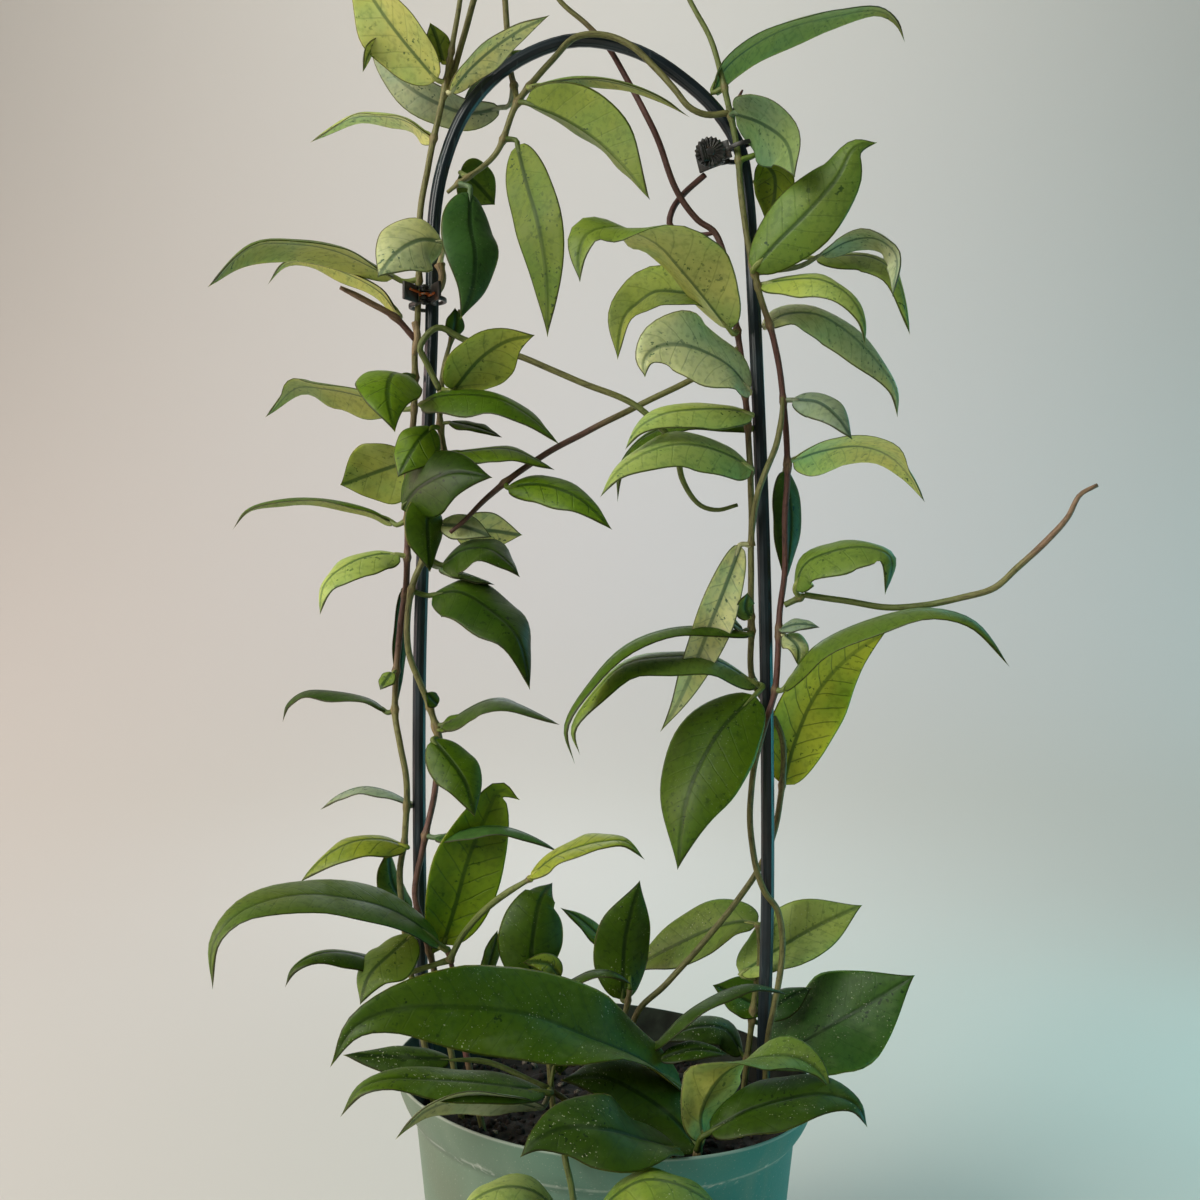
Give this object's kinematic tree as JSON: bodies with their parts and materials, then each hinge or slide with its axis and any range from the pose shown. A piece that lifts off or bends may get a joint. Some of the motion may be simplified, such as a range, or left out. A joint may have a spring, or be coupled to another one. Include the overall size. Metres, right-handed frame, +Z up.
{
  "type": "potted hoya plant",
  "caption": "Climbing hoya with long glossy leaves, trained on a U-shaped plastic hoop in a soft round nursery pot filled with soil.",
  "frame": {"origin": "middle of the pot's underside, on the surface that the pot stands on", "axes": "+Z up along the pot's axis and the hoop, -Y out of the plant's front, +X to the right as seen from the front"},
  "size_m": [0.3397, 0.2004, 0.6115],
  "materials": {
    "foliage": "satin",
    "pot_plastic": "satin",
    "soil": "matte",
    "hoop_plastic": "gloss",
    "clip_plastic": "satin",
    "spring_steel": "matte"
  },
  "bodies": {
    "root": {"pot": "pot_plastic", "soil": "soil", "hoop": "hoop_plastic", "right_clip_front_jaw": "clip_plastic", "right_clip_back_jaw": "clip_plastic", "right_clip_spring": "spring_steel", "left_clip_front_jaw": "clip_plastic", "left_clip_back_jaw": "clip_plastic", "left_clip_spring": "spring_steel", "left_outer_vine": "foliage", "left_inner_vine": "foliage", "right_outer_vine": "foliage", "right_inner_vine": "foliage", "left_base_shoot": "foliage", "middle_shoot": "foliage", "right_base_shoot": "foliage", "front_shoot": "foliage", "rim_shoot": "foliage", "trailing_stem": "foliage"}
  },
  "joints": []
}
